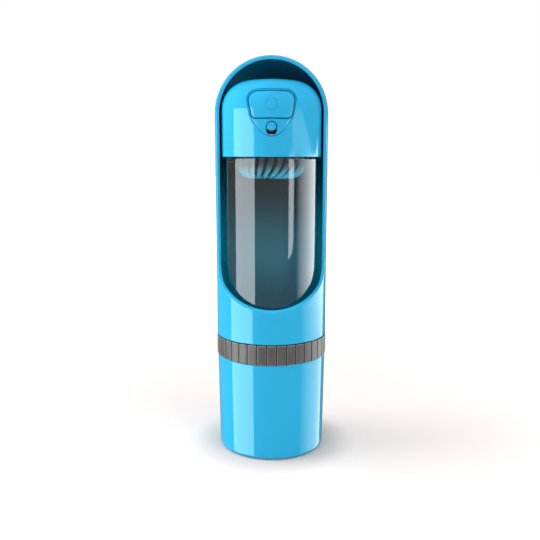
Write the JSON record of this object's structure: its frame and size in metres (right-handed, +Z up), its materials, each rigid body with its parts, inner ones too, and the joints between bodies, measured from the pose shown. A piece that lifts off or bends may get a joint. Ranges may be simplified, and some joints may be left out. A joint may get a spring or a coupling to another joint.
{
  "type": "dog travel water bottle",
  "caption": "Clear water bottle with a push-button pouring head, inside a sliding sleeve whose open hood is the drinking trough, on a screw-off food cup.",
  "frame": {"origin": "centre of the food cup's base, on the surface it stands on", "axes": "+Z up along the bottle; -Y is the front, where the window, the button and the lock face; +X to the right seen from the front"},
  "size_m": [0.0684, 0.0684, 0.2406],
  "materials": {
    "blue_plastic": "glossy blue moulding",
    "collar_grey": "satin dark grey moulding",
    "clear_plastic": "clear polished",
    "white_plastic": "satin white moulding",
    "grey_silicone": "matte",
    "clear_silicone": "matte translucent",
    "steel": "bright drawn",
    "filter_felt": "dark carbon felt"
  },
  "bodies": {
    "food_cup": {"food_cup": "blue_plastic"},
    "bottle": {"water_bottle": "clear_plastic", "bottle_base": "blue_plastic", "collar_clip": "steel"},
    "collar": {"collar": "collar_grey", "cup_seal": "grey_silicone"},
    "sleeve": {"sleeve": "blue_plastic", "sleeve_seal": "grey_silicone"},
    "neck_seal": {"neck_seal": "clear_silicone"},
    "head": {"cap_base": "white_plastic", "head_cover": "blue_plastic", "control_bezel": "blue_plastic", "outlet_spout": "grey_silicone", "filter_basket": "blue_plastic", "filter_cartridge": "filter_felt", "stem_oring": "grey_silicone", "gland_washer": "white_plastic", "valve_spring": "steel"},
    "button": {"button": "blue_plastic"},
    "lock_slider": {"lock_slider": "blue_plastic"},
    "valve": {"valve_stem": "white_plastic", "plug_seal": "grey_silicone"}
  },
  "joints": [
    {"name": "cup_release", "type": "slide", "parent": "food_cup", "child": "bottle", "axis": [0, 0, 1], "range_m": [0, 0.006]},
    {"name": "collar_turn", "type": "hinge", "parent": "bottle", "child": "collar", "pos_m": [0, 0, 0.066], "axis": [0, 0, 1], "range_deg": [0, 240.1]},
    {"name": "trough_slide", "type": "slide", "parent": "bottle", "child": "sleeve", "axis": [0, 0, 1], "range_m": [0, 0.065]},
    {"name": "head_lift", "type": "slide", "parent": "bottle", "child": "neck_seal", "axis": [0, 0, 1], "range_m": [0, 0.00333]},
    {"name": "head_turn", "type": "hinge", "parent": "neck_seal", "child": "head", "pos_m": [0, 0, 0.19], "axis": [0, 0, 1], "range_deg": [0, 200.1]},
    {"name": "button_press", "type": "slide", "parent": "head", "child": "button", "axis": [0, 1, 0], "range_m": [0, 0.0028]},
    {"name": "valve_travel", "type": "slide", "parent": "head", "child": "valve", "axis": [0, 0, -1], "range_m": [0, 0.0028], "stiffness_N_per_m": 400, "springref_m": -0.001, "deforming": ["valve_spring"]},
    {"name": "lock_slide", "type": "slide", "parent": "head", "child": "lock_slider", "axis": [0, 0, -1], "range_m": [0, 0.0019]}
  ],
  "couplings": [
    {"joint": "collar_turn", "follows": "cup_release", "rad_per_m": 698.13},
    {"joint": "head_turn", "follows": "head_lift", "rad_per_m": 1047.2},
    {"joint": "valve_travel", "follows": "button_press", "ratio": 1}
  ]
}
